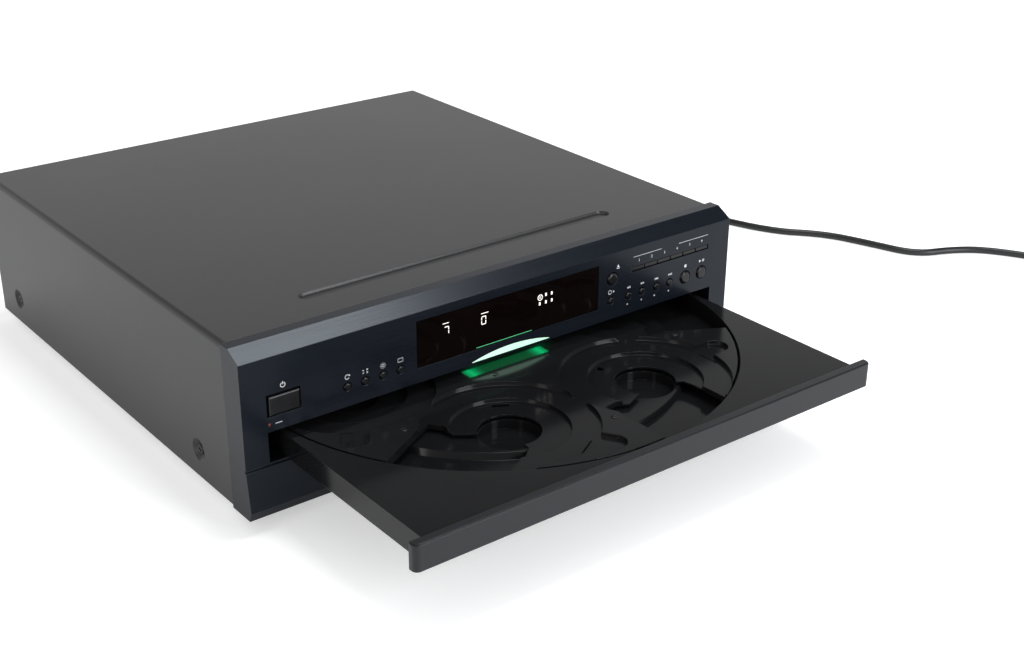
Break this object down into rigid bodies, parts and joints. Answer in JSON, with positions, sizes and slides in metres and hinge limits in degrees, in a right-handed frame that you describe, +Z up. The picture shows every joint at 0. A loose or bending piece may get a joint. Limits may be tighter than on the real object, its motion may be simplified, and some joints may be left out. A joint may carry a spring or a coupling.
{
  "type": "multi disc cd changer",
  "caption": "Wide low audio player whose drawer holds a turning carousel of stepped disc places; buttons, display window, lit arch over the drawer, cord at the back.",
  "frame": {"origin": "on the floor under the middle of the object with its tray open, without the mains cord", "axes": "+X right and +Y back as seen from the front, +Z up"},
  "size_m": [0.8487, 0.746, 0.131],
  "materials": {
    "painted_steel": "satin dark grey powder coat",
    "zinc_steel": "zinc-plated sheet",
    "black_screw": "black oxide",
    "front_plastic": "fine brushed blue-black",
    "tray_plastic": "satin black moulding",
    "lip_plastic": "blue-black satin",
    "window": "dark tinted gloss",
    "lens": "lit green light guide",
    "tube_glass": "clear glass envelope",
    "board": "green circuit board",
    "button": "satin black cap",
    "mechanism_plastic": "black moulded frame",
    "gear_plastic": "natural acetal",
    "motor_can": "plated can",
    "rubber": "matt rubber",
    "cord_rubber": "matt black sheath",
    "jack": "jack shells",
    "transformer_core": "varnished laminations"
  },
  "bodies": {
    "root": {"chassis_pan": "zinc_steel", "clamp_bridge": "zinc_steel", "control_board": "board", "cord_bushing": "cord_rubber", "cover_screws": "black_screw", "display_tube": "tube_glass", "display_window": "window", "feet": "rubber", "front_panel": "front_plastic", "loader_frame": "mechanism_plastic", "lower_panel": "front_plastic", "main_board": "board", "mains_cord": "cord_rubber", "mains_cord_coil": "cord_rubber", "mains_plug": "cord_rubber", "mains_transformer": "transformer_core", "power_board": "board", "rear_jacks": "jack", "rear_panel": "painted_steel", "top_cover": "painted_steel", "tray_belt": "rubber", "tray_light_lens": "lens", "tray_motor": "motor_can"},
    "tray": {"tray": "tray_plastic", "tray_front": "lip_plastic", "carousel_motor": "motor_can", "carousel_post": "motor_can"},
    "carousel": {"carousel": "tray_plastic"},
    "carousel_pinion": {"carousel_pinion": "gear_plastic"},
    "drive_gear": {"drive_gear": "gear_plastic"},
    "belt_pulley": {"belt_pulley": "gear_plastic"},
    "motor_pulley": {"motor_pulley": "gear_plastic"},
    "lift": {"lift_frame": "mechanism_plastic", "spindle_motor": "motor_can", "guide_rods": "motor_can", "sled_motor": "motor_can"},
    "spindle_platter": {"spindle_platter": "mechanism_plastic"},
    "optical_pickup": {"optical_pickup": "mechanism_plastic"},
    "sled_gear": {"sled_gear": "gear_plastic"},
    "cam_slider": {"cam_slider": "gear_plastic"},
    "disc_clamp": {"disc_clamp": "mechanism_plastic"},
    "repeat_button": {"repeat_button": "button"},
    "random_button": {"random_button": "button"},
    "dimmer_button": {"dimmer_button": "button"},
    "display_button": {"display_button": "button"},
    "disc_skip_button": {"disc_skip_button": "button"},
    "search_back_button": {"search_back_button": "button"},
    "search_forward_button": {"search_forward_button": "button"},
    "track_back_button": {"track_back_button": "button"},
    "track_forward_button": {"track_forward_button": "button"},
    "open_close_button": {"open_close_button": "button"},
    "stop_button": {"stop_button": "button"},
    "play_button": {"play_button": "button"},
    "disc_1_button": {"disc_1_button": "button"},
    "disc_2_button": {"disc_2_button": "button"},
    "disc_3_button": {"disc_3_button": "button"},
    "disc_4_button": {"disc_4_button": "button"},
    "disc_5_button": {"disc_5_button": "button"},
    "disc_6_button": {"disc_6_button": "button"},
    "power_button": {"power_button": "button"}
  },
  "joints": [
    {"name": "tray_slide", "type": "slide", "parent": "root", "child": "tray", "axis": [0, 1, 0], "range_m": [0, 0.164]},
    {"name": "carousel_spin", "type": "hinge", "parent": "tray", "child": "carousel", "pos_m": [0, -0.1092, 0.0653], "axis": [0, 0, 1], "continuous": true},
    {"name": "carousel_pinion_spin", "type": "hinge", "parent": "tray", "child": "carousel_pinion", "pos_m": [0.0285, -0.05984, 0.058], "axis": [0, 0, 1], "continuous": true},
    {"name": "drive_gear_spin", "type": "hinge", "parent": "root", "child": "drive_gear", "pos_m": [0.162, 0.0623, 0.04], "axis": [0, 0, 1], "range_deg": [-800, 0]},
    {"name": "belt_pulley_spin", "type": "hinge", "parent": "root", "child": "belt_pulley", "pos_m": [0.152, 0.03402, 0.036], "axis": [0, 0, 1], "range_deg": [0, 3150]},
    {"name": "motor_pulley_spin", "type": "hinge", "parent": "root", "child": "motor_pulley", "pos_m": [0.128, 0.0123, 0.034], "axis": [0, 0, 1], "range_deg": [0, 8130]},
    {"name": "pickup_lift", "type": "slide", "parent": "root", "child": "lift", "axis": [0, 0, 1], "range_m": [0, 0.021]},
    {"name": "cam_slide", "type": "slide", "parent": "root", "child": "cam_slider", "axis": [0, 1, 0], "range_m": [-0.0302, 0]},
    {"name": "spindle_spin", "type": "hinge", "parent": "lift", "child": "spindle_platter", "pos_m": [-0.06075, 0.16002, 0.044], "axis": [0, 0, 1], "continuous": true},
    {"name": "pickup_slide", "type": "slide", "parent": "lift", "child": "optical_pickup", "axis": [0, 1, 0], "range_m": [0, 0.0345]},
    {"name": "sled_gear_spin", "type": "hinge", "parent": "lift", "child": "sled_gear", "pos_m": [0.0056, 0.1973, 0.024], "axis": [0, 0, 1], "range_deg": [-220, 0]},
    {"name": "disc_clamp_spin", "type": "hinge", "parent": "root", "child": "disc_clamp", "pos_m": [-0.06075, 0.16002, 0.074], "axis": [0, 0, 1], "continuous": true},
    {"name": "repeat_button_press", "type": "slide", "parent": "root", "child": "repeat_button", "axis": [0, 1, 0], "range_m": [0, 0.0008], "stiffness_N_per_m": 600},
    {"name": "random_button_press", "type": "slide", "parent": "root", "child": "random_button", "axis": [0, 1, 0], "range_m": [0, 0.0008], "stiffness_N_per_m": 600},
    {"name": "dimmer_button_press", "type": "slide", "parent": "root", "child": "dimmer_button", "axis": [0, 1, 0], "range_m": [0, 0.0008], "stiffness_N_per_m": 600},
    {"name": "display_button_press", "type": "slide", "parent": "root", "child": "display_button", "axis": [0, 1, 0], "range_m": [0, 0.0008], "stiffness_N_per_m": 600},
    {"name": "disc_skip_button_press", "type": "slide", "parent": "root", "child": "disc_skip_button", "axis": [0, 1, 0], "range_m": [0, 0.0008], "stiffness_N_per_m": 600},
    {"name": "search_back_button_press", "type": "slide", "parent": "root", "child": "search_back_button", "axis": [0, 1, 0], "range_m": [0, 0.0008], "stiffness_N_per_m": 600},
    {"name": "search_forward_button_press", "type": "slide", "parent": "root", "child": "search_forward_button", "axis": [0, 1, 0], "range_m": [0, 0.0008], "stiffness_N_per_m": 600},
    {"name": "track_back_button_press", "type": "slide", "parent": "root", "child": "track_back_button", "axis": [0, 1, 0], "range_m": [0, 0.0008], "stiffness_N_per_m": 600},
    {"name": "track_forward_button_press", "type": "slide", "parent": "root", "child": "track_forward_button", "axis": [0, 1, 0], "range_m": [0, 0.0008], "stiffness_N_per_m": 600},
    {"name": "open_close_button_press", "type": "slide", "parent": "root", "child": "open_close_button", "axis": [0, 1, 0], "range_m": [0, 0.0008], "stiffness_N_per_m": 600},
    {"name": "stop_button_press", "type": "slide", "parent": "root", "child": "stop_button", "axis": [0, 1, 0], "range_m": [0, 0.0008], "stiffness_N_per_m": 600},
    {"name": "play_button_press", "type": "slide", "parent": "root", "child": "play_button", "axis": [0, 1, 0], "range_m": [0, 0.0008], "stiffness_N_per_m": 600},
    {"name": "disc_1_button_press", "type": "slide", "parent": "root", "child": "disc_1_button", "axis": [0, 1, 0], "range_m": [0, 0.0008], "stiffness_N_per_m": 600},
    {"name": "disc_2_button_press", "type": "slide", "parent": "root", "child": "disc_2_button", "axis": [0, 1, 0], "range_m": [0, 0.0008], "stiffness_N_per_m": 600},
    {"name": "disc_3_button_press", "type": "slide", "parent": "root", "child": "disc_3_button", "axis": [0, 1, 0], "range_m": [0, 0.0008], "stiffness_N_per_m": 600},
    {"name": "disc_4_button_press", "type": "slide", "parent": "root", "child": "disc_4_button", "axis": [0, 1, 0], "range_m": [0, 0.0008], "stiffness_N_per_m": 600},
    {"name": "disc_5_button_press", "type": "slide", "parent": "root", "child": "disc_5_button", "axis": [0, 1, 0], "range_m": [0, 0.0008], "stiffness_N_per_m": 600},
    {"name": "disc_6_button_press", "type": "slide", "parent": "root", "child": "disc_6_button", "axis": [0, 1, 0], "range_m": [0, 0.0008], "stiffness_N_per_m": 600},
    {"name": "power_button_press", "type": "slide", "parent": "root", "child": "power_button", "axis": [0, 1, 0], "range_m": [0, 0.0011], "stiffness_N_per_m": 900}
  ],
  "couplings": [
    {"joint": "carousel_pinion_spin", "follows": "carousel_spin", "ratio": -3.75},
    {"joint": "drive_gear_spin", "follows": "tray_slide", "rad_per_m": -83.333},
    {"joint": "belt_pulley_spin", "follows": "tray_slide", "rad_per_m": 333.33},
    {"joint": "motor_pulley_spin", "follows": "tray_slide", "rad_per_m": 863.64},
    {"joint": "cam_slide", "follows": "pickup_lift", "ratio": -1.4286},
    {"joint": "sled_gear_spin", "follows": "pickup_slide", "rad_per_m": -104.17}
  ]
}
